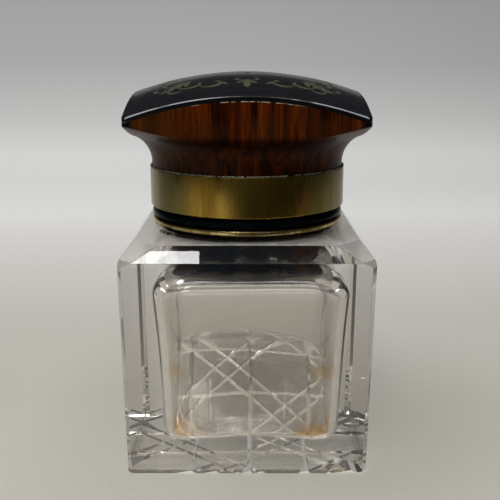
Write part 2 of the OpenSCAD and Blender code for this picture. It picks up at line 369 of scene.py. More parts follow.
def rosewood():
    """Orange-brown wood with dark upright streaks and open pores under polish."""
    f = Finish("rosewood")
    x, y, z = f.axes()
    streaks = f.noise(0.55, 5, 0.62, 0.35, f.stretched(z=0.06))
    fine = f.noise(2.6, 4, 0.6, 0.0, f.stretched(z=0.05))
    colour = f.ramp(streaks, (0.30, (0.012, 0.0022, 0.0006)), (0.43, (0.050, 0.0075, 0.0010)),
                    (0.55, (0.125, 0.021, 0.0016)), (0.72, (0.21, 0.042, 0.003)))
    lines = f.ramp(fine, (0.38, 0.25), (0.52, 1.0))
    colour = f.mix(0.75, colour, lines, "MULTIPLY")
    pores = f.ramp(f.cells(2.4, f.stretched(z=0.14)), (0.10, 0.15), (0.22, 1.0))
    colour = f.mix(0.8, colour, pores, "MULTIPLY")

    # Browner clouds, and a browner side at the left
    cloud = f.noise(0.12, 2, 0.5)
    colour = f.mix(f.between(cloud, 0.35, 0.7, 0.0, 0.5), colour, (0.055, 0.022, 0.006))
    colour = f.mix(f.between(x, -11, -21, 0.0, 0.40), colour, (0.050, 0.024, 0.005))

    # Painted shade: darkest in the top of the cove just under the lens, lighter lower down the neck, and a
    # little darker over the lens
    above_band = f.less(z, band_high.z / MM)
    shade = f.plus(f.between(above_band, 9.6, 8.4, 0.90, 0.30), f.between(above_band, 6.4, 4.2, 0.0, 0.42))
    colour = f.mix(1.0, colour, shade, "MULTIPLY")

    # Painted highlight: a pale broken glint along the seam under the veneer, near the middle of each side;
    # and a blackened rim at the corners
    radius = f.radius(x, y)
    seam_glint = f.times(f.between(f.below_dome(radius, z, VENEER_T / MM), 0.20, 0.12),
                   f.between(f.noise(0.45, 4, 0.6), 0.48, 0.56), f.between(f.narrower(x, y), 14, 8))
    colour = f.mix(seam_glint, colour, (0.55, 0.45, 0.30))
    colour = f.mix(f.between(radius, RIM_R / MM - 1.7, RIM_R / MM - 0.8), colour, (0.004, 0.003, 0.003))
    f.set(Base_Color=colour, Roughness=f.between(fine, 0.2, 0.8, 0.30, 0.42), Specular_IOR_Level=0.035,
          Coat_Weight=0.03, Coat_Roughness=0.12)
    f.bump(pores, 0.03, 0.6)
    f.bump(f.noise(0.35, 3, 0.5), 0.08, 0.25)
    return f.material


def ebony():
    """Near-black veneer, french polished, with faint brown grain and a painted highlight along its arris."""
    f = Finish("ebony")
    x, y, z = f.axes()
    grain = f.noise(1.6, 5, 0.6, 0.2, f.stretched(x=0.08))
    colour = f.ramp(grain, (0.35, (0.004, 0.0045, 0.006)), (0.65, (0.009, 0.007, 0.008)))
    haze = f.noise(0.25, 4, 0.6)
    radius = f.radius(x, y)
    # Painted highlight: a pale line along the rounded edge of the veneer, broken in patches and fainter at
    # the middle of each side
    from_edge = f.math("MINIMUM", f.less(LID_HALF / MM, f.wider(x, y)), f.less(RIM_R / MM, radius))
    patches = f.noise(0.11, 3, 0.6, 0, f.stretched(shift=(9, 4, 0)))
    arris = f.times(f.between(from_edge, 0.16, 0.07), f.between(f.below_dome(radius, z), 0.22, 0.12),
                    f.between(patches, 0.33, 0.47, 0.12, 0.75), f.between(f.narrower(x, y), 3, 11, 0.18, 1.0))
    colour = f.mix(arris, colour, (0.56, 0.57, 0.60))
    f.set(Base_Color=colour, Roughness=f.between(haze, 0.3, 0.7, 0.22, 0.28), Specular_IOR_Level=0.26,
          Coat_Weight=0.26, Coat_Roughness=0.06)
    f.bump(f.noise(0.2, 2, 0.5), 0.06, 0.15)
    return f.material


def aged_brass(name, tone, dark, rough, green=0.25, smudge=None):
    """Antique brass: olive-gold metal under patina that runs in upright bands, with fine turning lines.

    A smudge, given as a place in millimetres, is a coppery spot, and goes with sides that are greener and
    darker: green patina, with painted shade where the band turns away at left and right.
    """
    f = Finish(name)
    patina = f.noise(0.22, 5, 0.62, 0.2, f.stretched(z=0.1, shift=(5, 0, 0)))
    verdigris = f.noise(0.09, 3, 0.5, 0.3, f.stretched(z=0.05, shift=(31, 7, 3)))
    speck = f.noise(2.2, 4, 0.65)
    upright = f.noise(0.16, 3, 0.6, 0, f.stretched(z=0.04, shift=(3, 0, 0)))
    colour = f.mix(f.between(patina, 0.35, 0.68), tone, dark)
    colour = f.mix(f.between(verdigris, 0.5, 0.7, 0, green), colour, (0.16, 0.17, 0.075))
    colour = f.mix(f.between(speck, 0.60, 0.76, 0, 0.25), colour, (0.05, 0.035, 0.012))
    colour = f.mix(f.between(upright, 0.44, 0.60, 0, 0.22), colour, (0.13, 0.085, 0.018))
    if smudge:
        # Painted shade with green patina: darker and greener at left and right, where the band turns away
        # from the front
        side_shade_and_patina = f.between(f.size(f.axes()[0]), 12, 17)
        colour = f.mix(f.times(side_shade_and_patina, 0.66), colour, (0.094, 0.097, 0.038))
        near = f.node("ShaderNodeVectorMath", operation="DISTANCE")
        f.link(f.stretched(), near.inputs[0])
        near.inputs[1].default_value = smudge
        colour = f.mix(f.between(near.outputs["Value"], 3.2, 0.4, 0, 0.55), colour, (0.42, 0.17, 0.08))
    turning = f.noise(9.0, 2, 0.5, 0, f.stretched(x=0.02, y=0.02))
    f.set(Base_Color=colour, Metallic=1.0,
          Roughness=f.plus(f.between(patina, 0.3, 0.7, rough - 0.06, rough + 0.10),
                           f.between(speck, 0.4, 0.8, 0.0, 0.10)))
    f.bump(turning, 0.012, 0.35)
    f.bump(speck, 0.02, 0.3)
    f.bump(f.noise(0.24, 2, 0.5, 0, f.stretched(z=0.12, shift=(11, 0, 0))), 0.11, 0.26)
    return f.material


def black_bead():
    """Blue-black polished composition."""
    f = Finish("black_bead")
    wear = f.noise(0.8, 4, 0.6, 0.2, f.stretched(z=3))
    f.set(Base_Color=f.ramp(wear, (0.4, (0.0012, 0.003, 0.004)), (0.75, (0.004, 0.007, 0.009))),
          Roughness=f.between(wear, 0.3, 0.7, 0.10, 0.22), Specular_IOR_Level=0.02)
    f.bump(wear, 0.015, 0.2)
    return f.material


def bedding_cement():
    """Dark brown, crumbly cement."""
    f = Finish("bedding_cement")
    lumps = f.noise(1.3, 6, 0.7)
    f.set(Base_Color=f.ramp(lumps, (0.40, (0.004, 0.003, 0.003)), (0.56, (0.022, 0.011, 0.005)),
                            (0.70, (0.15, 0.075, 0.033))),
          Roughness=f.between(lumps, 0.3, 0.8, 0.7, 0.95))
    f.bump(lumps, 0.35, 0.9)
    return f.material


def pale_crust():
    """Whitish-green deposit left where polish has dried against the brass."""
    f = Finish("pale_crust")
    tone = f.noise(1.1, 4, 0.6)
    f.set(Base_Color=f.ramp(tone, (0.38, (0.12, 0.13, 0.09)), (0.52, (0.42, 0.45, 0.34)),
                            (0.7, (0.62, 0.64, 0.52))), Roughness=f.between(tone, 0.3, 0.7, 0.75, 0.95))
    f.bump(tone, 0.1, 0.6)
    return f.material


def engraved_brass():
    """Dulled inlay with fine hatching cut across it."""
    f = Finish("engraved_brass")
    hatch = f.node("ShaderNodeTexWave", wave_type="BANDS", bands_direction="DIAGONAL")
    f.link(f.stretched(), hatch.inputs["Vector"])
    hatch.inputs["Scale"].default_value = 1.1
    hatch.inputs["Distortion"].default_value = 1.5
    hatch.inputs["Detail"].default_value = 2
    dirt = f.noise(0.5, 5, 0.65)
    colour = f.mix(f.between(dirt, 0.35, 0.7), (0.21, 0.205, 0.135), (0.085, 0.083, 0.052))
    cut = f.ramp(hatch.outputs["Fac"], (0.05, 0.35), (0.22, 1.0))
    colour = f.mix(0.6, colour, cut, "MULTIPLY")
    f.set(Base_Color=colour, Metallic=0.7, Roughness=f.between(dirt, 0.3, 0.7, 0.36, 0.58))
    f.bump(cut, 0.03, 0.5)
    return f.material


def shadow_through(f):
    """Lets light pass a glass finish to what stands in its shadow. Light caught in facets ends in haze."""
    clear = f.node("ShaderNodeBsdfTransparent")
    clear.inputs["Color"].default_value = (0.995, 0.993, 0.99, 1)
    haze = f.node("ShaderNodeBsdfDiffuse")
    haze.inputs["Color"].default_value = (0.52, 0.50, 0.465, 1)
    ray = f.node("ShaderNodeLightPath")
    caught = f.math("GREATER_THAN", ray.outputs["Glossy Depth"], 2.5)
    glass = f.join(caught, f.shader.outputs[0], haze.outputs[0])
    return f.join(ray.outputs["Is Shadow Ray"], glass, clear.outputs[0])


def cut_glass():
    """Polished lead glass with faint scratches. Where the cement grips it, the cement shows through."""
    f = Finish("cut_glass")
    x, y, z = f.axes()
    scratch = f.noise(3.0, 3, 0.6, 0.0, f.stretched(z=0.25))
    dust = f.noise(0.22, 6, 0.7)

    # The table inside the bevel is the dustiest face, and the base is worn where it stands
    wider = f.wider(x, y)
    bevel = f.plus(SHOULDER_HALF / MM, f.times(f.less(z, SHOULDER_Z / MM), -BEVEL_LEAN))
    table = f.times(f.between(f.less(bevel, wider), 0.05, 0.2), f.between(z, 53.6, 53.8))
    veil = f.times(f.between(dust, 0.25, 0.75, 0.4, 1.0), f.between(z, 54, 46, 0.012, 0.034))
    veil = f.plus(veil, f.times(table, 0.30))
    worn = f.times(f.between(z, 0.16, 0.04), f.between(dust, 0.3, 0.7, 0.18, 0.40))
    worn = f.plus(worn, f.times(table, 0.25))

    # The solid corner columns are a darker tint
    column = f.times(f.between(f.narrower(x, y), 20, 24), f.between(z, 53.5, 52))
    f.set(Base_Color=f.mix(column, (0.852, 0.828, 0.790), (0.69, 0.665, 0.635)), IOR=1.52,
          Transmission_Weight=f.less(1.0, veil),
          Roughness=f.math("MAXIMUM", f.between(scratch, 0.6, 0.8, 0.0, 0.06), worn))
    f.bump(f.times(f.noise(0.12, 2, 0.5), f.between(z, 53, 50)), 0.05, 0.15)

    gripped = f.times(f.math("LESS_THAN", f.radius(x, y), CEMENT_R / MM - 0.2),
                      f.math("GREATER_THAN", z, TABLE_Z / MM - 0.05))
    lumps = f.noise(0.35, 5, 0.65)
    bedding = f.node("ShaderNodeBsdfDiffuse")
    f.link(f.mix(f.between(lumps, 0.35, 0.62), (0.005, 0.006, 0.008), (0.055, 0.030, 0.018)),
           bedding.inputs["Color"])
    f.link(f.join(gripped, shadow_through(f), bedding.outputs[0]), f.output.inputs["Surface"])
    return f.material


def chamber_glass():
    """Fire-polished inside of the well: wavy, with amber stains at the corners and dried ink above."""
    f = Finish("chamber_glass")
    x, y, z = f.axes()
    cornering = f.times(f.size(x), f.size(y))
    low = f.between(z, 13.5, 7, 0, 1.6)
    patch = f.between(f.noise(0.20, 5, 0.65), 0.38, 0.56)
    stain = f.times(low, f.between(cornering, 170, 360), patch)
    ring = f.times(f.between(f.size(f.less(z, 25)), 3.2, 0.5), f.between(cornering, 300, 400),
                   f.between(y, 2, -4), 0.8)
    film = f.between(f.noise(0.07, 3, 0.5), 0.4, 0.8, 0, 0.10)
    stain = f.math("MAXIMUM", f.math("MAXIMUM", stain, ring), film)

    # Dried ink round the mouth, with a ragged edge: blue-black, and brown towards the sides
    edge = f.plus(z, f.between(f.noise(0.30, 5, 0.65), 0.3, 0.7, -0.6, 0.6))
    tinge, ink = f.between(edge, 49.1, 49.9), f.between(edge, 49.4, 50.5)
    brown = f.times(f.between(f.noise(0.16, 4, 0.6), 0.42, 0.6), f.between(f.size(x), 8, 15, 0.25, 1))
    dregs = f.mix(brown, (0.002, 0.011, 0.024), (0.060, 0.024, 0.010))
    clear = f.between(f.noise(0.18, 6, 0.7), 0.25, 0.75, 0.975, 0.93)
    f.set(Base_Color=f.mix(tinge, f.mix(stain, (0.797, 0.774, 0.740), (0.68, 0.40, 0.12)), dregs),
          Roughness=f.between(stain, 0.1, 0.9, 0.0, 0.25), IOR=1.52,
          Transmission_Weight=f.times(clear, f.less(1.0, ink)))
    f.bump(f.noise(0.09, 2, 0.5), 0.15, 0.3)
    f.link(shadow_through(f), f.output.inputs["Surface"])
    return f.material


# Painted light and shade on the paper: its colour by how far back it lies, in millimetres along floor and
# sweep
PAPER_PAINTED_LIGHT = ((-300, (0.50, 0.478, 0.43)), (-110, (0.48, 0.459, 0.41)), (-60, (0.38, 0.362, 0.320)),
               (13, (0.350, 0.336, 0.300)), (86, (0.378, 0.364, 0.330)), (142, (0.430, 0.417, 0.390)),
               (223, (0.505, 0.492, 0.472)), (300, (0.575, 0.570, 0.555)), (520, (0.560, 0.562, 0.550)),
               (600, (0.455, 0.457, 0.448)), (700, (0.365, 0.367, 0.362)))


def pale_paper():
    """Pale floor and backdrop, with light and shade painted along them. All but camera and transmission rays
    see the front right dark.
    """
    f = Finish("pale_paper")
    x, y, z = f.axes()
    first, last = PAPER_PAINTED_LIGHT[0][0], PAPER_PAINTED_LIGHT[-1][0]
    share = f.math("DIVIDE", f.less(f.plus(y, z), first), last - first, True)
    tone = f.ramp(share, *(((at - first) / (last - first), colour) for at, colour in PAPER_PAINTED_LIGHT))
    speck = f.ramp(f.noise(0.9, 5, 0.6), (0.3, 0.94), (0.7, 1.0))
    tone = f.mix(1.0, tone, speck, "MULTIPLY")
    # Painted light: the paper under the well is lighter, in place of the light that the glass gathers onto it
    tone = f.mix(f.between(f.wider(x, y), 28.8, 27, 0.0, 0.22), tone, (0.86, 0.84, 0.79))
    side = f.times(f.math("ARCTAN2", x, f.times(y, -1.0)), 360 / TAU)
    ray = f.node("ShaderNodeLightPath")
    seen = f.math("MAXIMUM", ray.outputs["Is Camera Ray"], ray.outputs["Is Transmission Ray"])
    dark = f.times(f.between(side, -22, -6), f.between(y, -60, -110), f.less(1.0, seen))
    tone = f.mix(dark, tone, (0.012, 0.012, 0.012))
    f.set(Base_Color=tone, Roughness=0.85)
    return f.material


# ---- Glass well ----

def cut_block():
    """The outer block: a cube of glass cut by the flats, arrises, bevels and corner slopes."""
    work = bmesh.new()
    bmesh.ops.create_cube(work, size=4 * SHOULDER_HALF)
    taper = math.atan2(SHOULDER_HALF - BASE_HALF, SHOULDER_Z)

    def slice_off(point, normal):
        bmesh.ops.bisect_plane(work, geom=work.verts[:] + work.edges[:] + work.faces[:], plane_co=point,
                               plane_no=normal, clear_outer=True)
        bmesh.ops.contextual_create(work, geom=[edge for edge in work.edges if edge.is_boundary])

    slice_off((0, 0, 0), (0, 0, -1))
    slice_off((0, 0, TABLE_Z), (0, 0, 1))
    bevel_rise = TABLE_Z - SHOULDER_Z
    for quarter in range(4):
        turn = Matrix.Rotation(quarter * TAU / 4, 3, "Z")
        slice_off(turn @ Vector((0, -BASE_HALF, 0)), turn @ Vector((0, -math.cos(taper), -math.sin(taper))))
        slice_off(turn @ Vector((0, -SHOULDER_HALF, SHOULDER_Z)), turn @ Vector((0, -bevel_rise, BEVEL_RUN)))
        diagonal = turn @ Vector((1, -1, 0)).normalized()
        slice_off(diagonal * (BASE_HALF * math.sqrt(2) - ARRIS_BEVEL),
                  diagonal * math.cos(taper) + Vector((0, 0, -math.sin(taper) * math.sqrt(2))))
        for step in range(-9, 10):
            across = Matrix.Rotation(math.radians(2 * step), 3, "Z") @ diagonal
            slice_off(across * TABLE_FLAT_R + Vector((0, 0, TABLE_Z)),
                      across * math.sin(CORNER_FALL) + Vector((0, 0, math.cos(CORNER_FALL))))
    mesh = bpy.data.meshes.new("cut_block")
    work.to_mesh(mesh)
    work.free()
    block = in_scene("cut_block", mesh)
    outward(block, 2e-6)
    edge = block.modifiers.new("arris", "BEVEL")
    edge.width = ARRIS_ROUND
    edge.segments = 2
    edge.limit_method = "ANGLE"
    edge.angle_limit = math.radians(14)
    apply_modifiers(block)
    return block


def rounded_square(half, corner, turn):
    """Distance from the centre to a rounded square, in the direction turn."""
    c, s = abs(math.cos(turn)), abs(math.sin(turn))
    flat = half / max(c, s)
    if min(c, s) * flat <= half - corner:
        return flat
    middle = half - corner
    along = middle * (c + s)
    return along + math.sqrt(max(along * along - 2 * middle * middle + corner * corner, 0))


def over_swell(x, y, z):
    """Height of a chamber point once the swell of the floor has lifted it, with a soft joint."""
    swell = SWELL_Z - SWELL_R + math.sqrt(SWELL_R ** 2 - x * x - (y - SWELL_BACK) ** 2)
    return (z + swell + math.hypot(z - swell, SWELL_JOINT)) / 2


def ink_chamber(material):
    """The blown space inside: swelling floor, leaning walls, roof that closes to the mouth.

    Each row is a rounded square, as half its width, the radius of its corners and its height.
    """
    steps = 200
    inner = FLOOR_HALF - FLOOR_CORNER
    rows = [(inner * i / 14, inner * i / 14 * 0.35, FLOOR_Z) for i in range(1, 15)]
    for angle in range(9, 91, 9):
        a = math.radians(angle)
        rows.append((inner + FLOOR_CORNER * math.sin(a), FLOOR_CORNER + 2 * MM * math.sin(a),
                     FLOOR_Z + FLOOR_CORNER * (1 - math.cos(a))))
    wall_foot, wall_head = FLOOR_Z + FLOOR_CORNER, ROOF_Z - ROOF_CORNER
    for i in range(1, 31):
        share = i / 30
        rows.append((FLOOR_HALF + (ROOF_HALF - FLOOR_HALF) * share,
                     (WALL_FOOT_CORNER + (WALL_HEAD_CORNER - WALL_FOOT_CORNER) * share) * MM,
                     wall_foot + (wall_head - wall_foot) * share))
    for angle in range(6, ROOF_TURN + 1, 6):
        a = math.radians(angle)
        rows.append((ROOF_HALF - ROOF_CORNER * (1 - math.cos(a)),
                     (WALL_HEAD_CORNER + 2 * math.sin(a)) * MM, wall_head + ROOF_CORNER * math.sin(a)))
    half, corner, height = rows[-1]
    crest = height + (half - MOUTH_R) / math.tan(math.radians(ROOF_TURN))
    for i in range(1, 15):
        t = i / 14
        rows.append((MOUTH_R + (half - MOUTH_R) * (1 - t) ** 2,
                     corner + (MOUTH_R - corner) * (1 - (1 - t) ** 2),
                     height * (1 - t) ** 2 + 2 * crest * t * (1 - t) + MOUTH_Z * t * t))
    rows.append((MOUTH_R, MOUTH_R, NECK_TOP + 2 * MM))
    verts = [(WANDER, 0, over_swell(WANDER, 0, FLOOR_Z))]
    for half, corner, z in rows:
        drift = min(1, max(0, (MOUTH_Z - z) / (MOUTH_Z - wall_head)))
        for i in range(steps):
            turn = TAU * (i + 0.5) / steps
            radius = rounded_square(half, min(corner, half), turn)
            radius += WAVE * drift * math.sin(3 * turn + 1.3 + z / WAVE_RISE)
            x, y = radius * math.cos(turn) + WANDER * drift, radius * math.sin(turn)
            verts.append((x, y, over_swell(x, y, z)))
    faces = [(0, 1 + (i + 1) % steps, 1 + i) for i in range(steps)]
    for j in range(len(rows) - 1):
        a, b = 1 + j * steps, 1 + (j + 1) * steps
        faces += [(a + i, a + (i + 1) % steps, b + (i + 1) % steps, b + i) for i in range(steps)]
    last = 1 + (len(rows) - 1) * steps
    faces.append(tuple(last + i for i in range(steps)))
    space = new_piece("ink_space", verts, faces, [material])
    outward(space)
    return space


def mitre_wheel(direction, off):
    """The wedge that one mitre cut takes away."""
    verts = []
    for along, wider, deeper in CUT_STATIONS:
        half = 2 * CUT_HALF_WIDTH * wider
        verts += [(along * MM, y - off, z)
                  for y, z in ((-half, -CUT_DEPTH), (half, -CUT_DEPTH), (0, CUT_DEPTH * deeper))]
    faces = [(0, 1, 2), (11, 10, 9)]
    for a in (0, 3, 6):
        faces += [(a, a + 3, a + 4, a + 1), (a + 1, a + 4, a + 5, a + 2), (a + 2, a + 5, a + 3, a)]
    wedge = new_piece("wedge", verts, faces)
    wedge.data.transform(Matrix.Rotation(math.radians(direction), 4, "Z"))
    outward(wedge)
    return wedge


def mitre_cuts():
    """Direction of every cut under the base, and how far it lies to the right of the middle."""
    cuts = []
    for half in (-0.5 * PAIR_GAP, 0.5 * PAIR_GAP):
        cuts += [(CUT_LEAN, RISING_SHIFT + k * PAIR_PITCH + half) for k in (-1, 0, 1, 2)]
        cuts += [(-CUT_LEAN, FALLING_SHIFT + k * PAIR_PITCH + half) for k in (-1, 0, 1)]
    cuts += [(90, LENGTHWAYS_SHIFT + k * LENGTHWAYS_PITCH) for k in (-1, 0, 1)]
    cuts += [(0, CROSSWAYS_SHIFT + k * CROSSWAYS_PITCH) for k in (-1, 0, 1)]
    return cuts


def glass_well():
    """One piece of glass: block and neck, less the chamber and the mitre cuts. Its cut flats stay flat."""
    outside, inside = cut_glass(), chamber_glass()
    well = cut_block()
    well.name = "well_glass"
    well.data.materials.append(outside)
    root = TABLE_Z - 2 * MM
    neck = lathe("neck", [(0, root), (NECK_R, root), (NECK_R, NECK_TOP), (0, NECK_TOP)], [outside], 160,
                 closed=False)
    carve(well, neck, "UNION")
    carve(well, ink_chamber(inside))
    for direction, off in mitre_cuts():
        carve(well, mitre_wheel(direction, off))
    smooth_but_for(well, 15)
    for polygon in well.data.polygons:
        polygon.use_smooth = polygon.area < FLAT_FACET_AREA
    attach(well, "well")
    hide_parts("glass_well")


# ---- Lid ----

def plan_radius(turn):
    """Reach of the lid in the direction turn: a square with its corners turned off."""
    return min(rounded_square(LID_HALF, LID_CORNER, turn), RIM_R)


def plan_turns():
    """Directions round the lid, with the corners of the square and of its turned tips among them."""
    quarter, tip = TAU / 4, math.atan((LID_HALF - LID_CORNER) / LID_HALF)
    side = [math.atan(math.tan(tip) * (i / 26)) for i in range(-26, 27)]
    corner = [tip + (quarter - 2 * tip) * i / 10 for i in range(1, 10)]
    return [q * quarter + turn for q in range(4) for turn in side + corner]


def dome_height(radius, depth=0.0):
    """Height of the dome at a distance from the axis, sunk by depth."""
    return DOME_Z + math.sqrt((DOME_R - depth) ** 2 - radius ** 2)


def cove_points():
    """Turned underside of the lid as far as the flare: straight neck, then cove."""
    start = band_high.z + LID_NECK_H
    points = [(LID_NECK_R, band_high.z)]
    points += arc_points((LID_NECK_R + COVE_R, start), COVE_R, 180, 90 + math.degrees(FLARE), 18)
    return points


def underside_height(radius):
    """Height of cove or flare at a distance from the axis, out beyond the neck."""
    cove_r, cove_z = cove_points()[-1]
    if radius >= cove_r:
        return cove_z + (radius - cove_r) * math.tan(FLARE)
    reach = (LID_NECK_R + COVE_R - radius) / COVE_R
    return band_high.z + LID_NECK_H + COVE_R * math.sqrt(max(1 - reach * reach, 0))


def skin(name, columns, materials):
    """Closed surface round the axis, from columns of points that start and end on it."""
    count = len(columns[0])
    verts = [p for column in columns for p in column]
    faces = []
    for i in range(len(columns)):
        a, b = i * count, (i + 1) % len(columns) * count
        faces += [(a + j, b + j, b + j + 1, a + j + 1) for j in range(count - 1)]
    piece = new_piece(name, verts, faces, materials)
    outward(piece)
    return piece


def turned(row, turn):
    """A row of (radius, height) points, in the direction turn."""
    return [(r * math.cos(turn), r * math.sin(turn), z) for r, z in row]


def lid_block():
    """Wooden block: turned cove below, cut square above, domed under its veneer.

    In the middle of each side the flat cuts into the cove. The points of the cove that it cuts away are
    drawn in, so that every column keeps the same number of points.
    """
    edge = LID_EDGE
    cove = cove_points()
    columns = []
    for turn in plan_turns():
        reach = plan_radius(turn)
        low, high = underside_height(reach - edge), dome_height(reach, VENEER_T)
        edge_up = min(edge * 1.4, 0.4 * max(high - low, 0.05 * MM))
        under = [point for point in cove if point[0] < reach - 1.5 * edge]
        while len(under) < len(cove):
            last = under[-1][0] + (reach - edge - under[-1][0]) * 0.5
            under.append((last, underside_height(last)))
        flare = [under[-1][0] + (reach - edge - under[-1][0]) * i / 6 for i in range(1, 7)]
        row = [(0, liner_high.z), (BAND_IN, liner_high.z), (BAND_IN, band_high.z)] + under
        row += [(r, underside_height(r)) for r in flare]
        row += [(reach - 0.3 * edge, low + 0.35 * edge_up), (reach, low + edge_up)]
        row += [(reach, low + edge_up + (high - low - edge_up) * i / 5) for i in range(1, 6)]
        row += [(reach * (1 - i / 10), dome_height(reach * (1 - i / 10), VENEER_T)) for i in range(1, 11)]
        columns.append(turned(row, turn))
    block = skin("lid_wood", columns, [rosewood()])
    smooth_but_for(block, 28)
    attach(block, "lid")
    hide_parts("lid_block")


def lid_veneer():
    """Ebony veneer over the dome, rounded over at its edge, and most of all at the corners."""
    seam = 0.07 * MM
    columns = []
    for turn in plan_turns():
        reach = plan_radius(turn)
        tip = max(0.0, (reach - TIP_START_R) / (RIM_R - TIP_START_R))
        fall, reach_in = (0.35 + 0.75 * tip ** 2) * MM, (0.35 + 1.5 * tip ** 2) * MM
        foot = dome_height(reach, VENEER_T)
        row = [(reach * i / 10, dome_height(reach * i / 10, VENEER_T)) for i in range(10)]
        row += [(reach - 0.25 * MM, dome_height(reach - 0.25 * MM, VENEER_T)),
                (reach - 0.02 * MM, foot + seam), (reach, foot + 2 * seam)]
        inner = reach - reach_in
        crown = dome_height(inner)
        edge_low = max(crown - fall, foot + 3 * seam)
        row += [(reach - reach_in * (1 - math.cos(a)), edge_low + (crown - edge_low) * math.sin(a))
                for a in (TAU / 4 * i / 6 for i in range(7))]
        row += [(inner * (1 - i / 24), dome_height(inner * (1 - i / 24))) for i in range(1, 25)]
        columns.append(turned(row, turn))
    veneer = skin("lid_ebony", columns, [ebony()])
    smooth_but_for(veneer, 35)
    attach(veneer, "lid")
    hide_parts("lid_veneer")


# ---- Turned brass and bead ----

def turned_ring(name, profile, material, body, node, sharp=30):
    """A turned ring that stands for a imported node, on its body."""
    ring = lathe(name, profile, [material], 256)
    smooth_but_for(ring, sharp)
    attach(ring, body)
    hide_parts(node)


def lid_band():
    """Brass band, rounder at its lower edge than at its upper one."""
    lower, upper = 0.35 * MM, 0.18 * MM
    low, high = band_low.z, band_high.z
    outer = arc_points((BAND_R - lower, low + lower), lower, -90, 0, 6)
    outer += arc_points((BAND_R - upper, high - upper), upper, 0, 90, 4)
    finish = aged_brass("band_brass", (0.40, 0.25, 0.045), (0.27, 0.16, 0.022), 0.27, 0.35,
                        (12.6, -21.6, 67.5))
    turned_ring("lid_band_brass", [(BAND_IN, low)] + outer + [(BAND_IN, high)], finish, "lid", "lid_band")


def neck_collar():
    """Brass collar: foot under the bead, sleeve round the neck, rolled lip over the glass."""
    edge, roll = 0.2 * MM, 0.7 * MM
    foot_r, low, foot_top, top = collar_high.x, collar_low.z, bead_low.z, collar_high.z
    lip = MOUTH_R + edge
    profile = [(SLEEVE_IN, low), (foot_r - edge, low)]
    profile += arc_points((foot_r - 2 * edge, low + 2 * edge), 2 * edge, -90, 0, 4)
    profile += arc_points((foot_r - 2 * edge, foot_top - 2 * edge), 2 * edge, 0, 90, 4)
    profile += [(SLEEVE_OUT, foot_top)]
    profile += arc_points((SLEEVE_OUT - roll, top - roll), roll, 0, 90, 5)
    profile += [(lip + edge, top), (lip, top - edge), (lip, top - roll), (SLEEVE_IN, top - roll)]
    finish = aged_brass("collar_brass", (0.78, 0.63, 0.28), (0.32, 0.22, 0.07), 0.25, 0.2)
    turned_ring("neck_collar_brass", profile, finish, "well", "neck_collar")


def bead_ring():
    """Black bead on the foot, round outside and flat where it sits on the sleeve."""
    half = (bead_high.z - bead_low.z) / 2
    core = bead_high.x - half
    bore = core - half + 0.05 * MM
    profile = [(bore, bead_low.z)]
    profile += arc_points((core, bead_low.z + half), half, -90, 90, 20)
    profile += [(bore, bead_high.z)]
    turned_ring("bead_black", profile, black_bead(), "well", "bead_ring", 60)


def neck_cement():
    """Bedding cement, roughened where it shows under the foot."""
    edge, foot = CEMENT_R, collar_low.z
    profile = [(NECK_R, TABLE_Z), (edge - 0.9 * MM, TABLE_Z), (edge - 0.3 * MM, TABLE_Z)]
    profile += [(edge, TABLE_Z + 0.25 * MM), (edge, TABLE_Z + 0.7 * MM)]
    profile += [(edge - 0.1 * MM, TABLE_Z + 1.1 * MM), (edge - 0.3 * MM, foot), (SLEEVE_IN, foot)]
    profile += [(SLEEVE_IN, cement_high.z), (NECK_R, cement_high.z)]
    bed = lathe("neck_cement_bed", profile, [bedding_cement()], 300)
    chance = random.Random(7)
    lumps = [(chance.uniform(0, TAU), chance.uniform(6, 60), chance.uniform(-0.35, 0.0)) for _ in range(40)]
    for vert in bed.data.vertices:
        x, y, z = vert.co
        radius = math.hypot(x, y)
        if radius > edge - 0.5 * MM and z < foot - 0.05 * MM:
            turn = math.atan2(y, x)
            drop = sum(size * math.exp(-((turn - at + math.pi) % TAU - math.pi) ** 2 * sharp ** 2)
                       for at, sharp, size in lumps)
            shrink = 1 + (max(drop, -0.5) + chance.uniform(-0.12, 0)) * MM / radius
            vert.co.x, vert.co.y = x * shrink, y * shrink
    smooth_but_for(bed, 40)
    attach(bed, "well")
    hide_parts("neck_cement")


# ---- Crumbs along the joints ----

